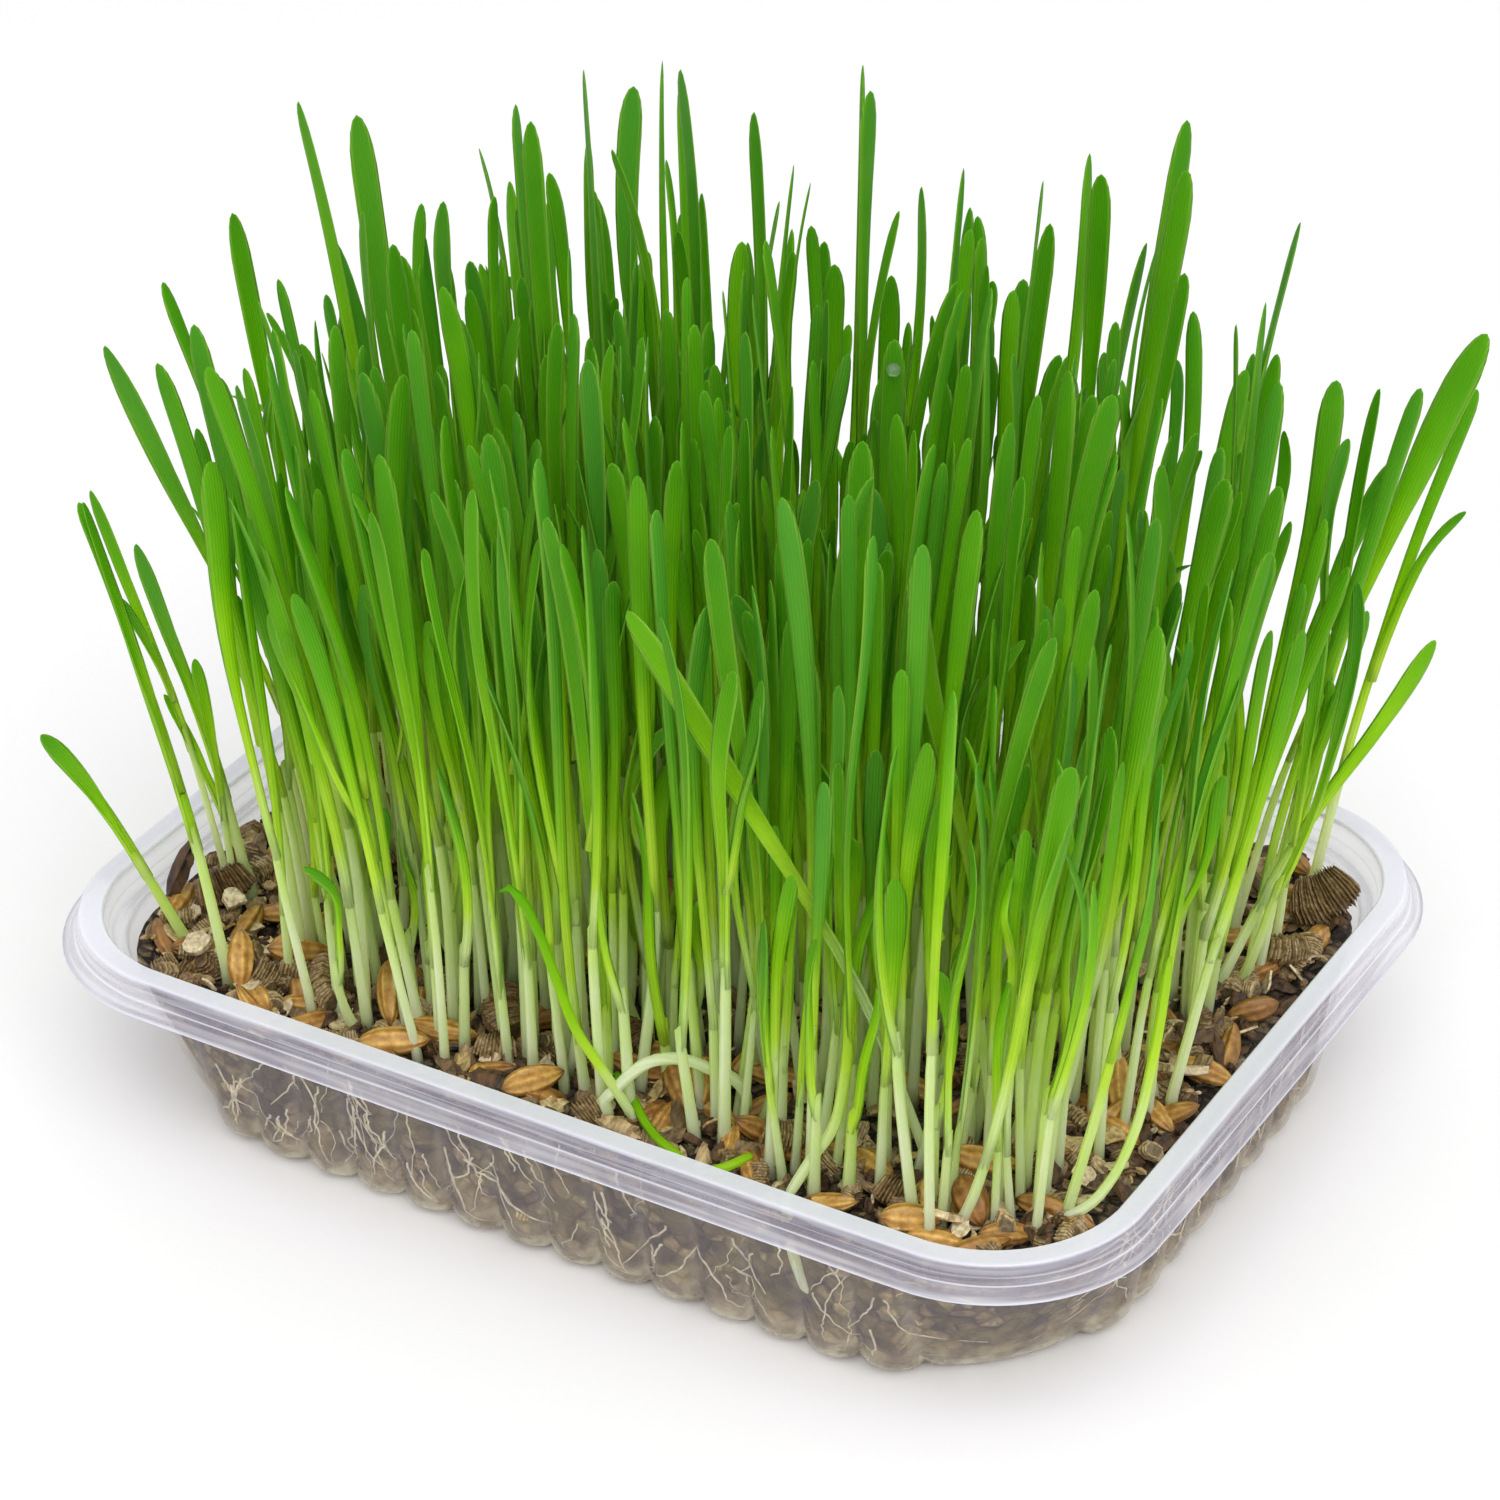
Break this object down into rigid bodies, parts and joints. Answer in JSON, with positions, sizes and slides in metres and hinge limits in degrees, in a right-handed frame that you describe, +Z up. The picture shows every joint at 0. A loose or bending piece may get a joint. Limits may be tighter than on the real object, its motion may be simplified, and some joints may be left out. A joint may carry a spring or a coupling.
{
  "type": "wheatgrass tray",
  "caption": "Clear rectangular food tray with a fluted wall and rolled rim, filled with a dark growing medium that carries upright grass sprouts.",
  "frame": {"origin": "middle of the tray's flat foot, on the surface that it stands on", "axes": "+Z up, +X along the tray's long side, +Y along its short side"},
  "size_m": [0.1945, 0.144, 0.1502],
  "materials": {
    "clear_plastic": "thin clear thermoformed plastic, faintly frosted on the rim",
    "growing_medium": "moist dark peat with bark chips, golden mineral flakes and husked grains",
    "sprout_green": "satin green blades with fine lengthwise veins, pale towards the foot"
  },
  "bodies": {
    "root": {"tray": "clear_plastic", "growing_medium": "growing_medium", "sprout_tuft_01": "sprout_green", "sprout_tuft_02": "sprout_green", "sprout_tuft_03": "sprout_green", "sprout_tuft_04": "sprout_green", "sprout_tuft_05": "sprout_green", "sprout_tuft_06": "sprout_green", "sprout_tuft_07": "sprout_green", "sprout_tuft_08": "sprout_green", "sprout_tuft_09": "sprout_green", "sprout_tuft_10": "sprout_green", "sprout_tuft_11": "sprout_green", "sprout_tuft_12": "sprout_green", "sprout_tuft_13": "sprout_green", "sprout_tuft_14": "sprout_green", "sprout_tuft_15": "sprout_green", "sprout_tuft_16": "sprout_green", "sprout_tuft_17": "sprout_green", "sprout_tuft_18": "sprout_green", "sprout_tuft_19": "sprout_green", "sprout_tuft_20": "sprout_green", "sprout_tuft_21": "sprout_green", "sprout_tuft_22": "sprout_green", "sprout_tuft_23": "sprout_green", "sprout_tuft_24": "sprout_green", "sprout_tuft_25": "sprout_green", "sprout_tuft_26": "sprout_green", "sprout_tuft_27": "sprout_green", "sprout_tuft_28": "sprout_green", "sprout_tuft_29": "sprout_green", "sprout_tuft_30": "sprout_green", "sprout_tuft_31": "sprout_green", "sprout_tuft_32": "sprout_green", "sprout_tuft_33": "sprout_green", "sprout_tuft_34": "sprout_green", "sprout_tuft_35": "sprout_green", "sprout_tuft_36": "sprout_green", "sprout_tuft_37": "sprout_green", "sprout_tuft_38": "sprout_green", "sprout_tuft_39": "sprout_green", "sprout_tuft_40": "sprout_green", "sprout_tuft_41": "sprout_green", "sprout_tuft_42": "sprout_green", "sprout_tuft_43": "sprout_green", "sprout_tuft_44": "sprout_green", "sprout_tuft_45": "sprout_green", "sprout_tuft_46": "sprout_green", "sprout_tuft_47": "sprout_green", "sprout_tuft_48": "sprout_green", "sprout_tuft_49": "sprout_green", "sprout_tuft_50": "sprout_green", "sprout_tuft_51": "sprout_green", "sprout_tuft_52": "sprout_green", "sprout_tuft_53": "sprout_green", "sprout_tuft_54": "sprout_green", "sprout_tuft_55": "sprout_green", "sprout_tuft_56": "sprout_green", "sprout_tuft_57": "sprout_green"}
  },
  "joints": []
}
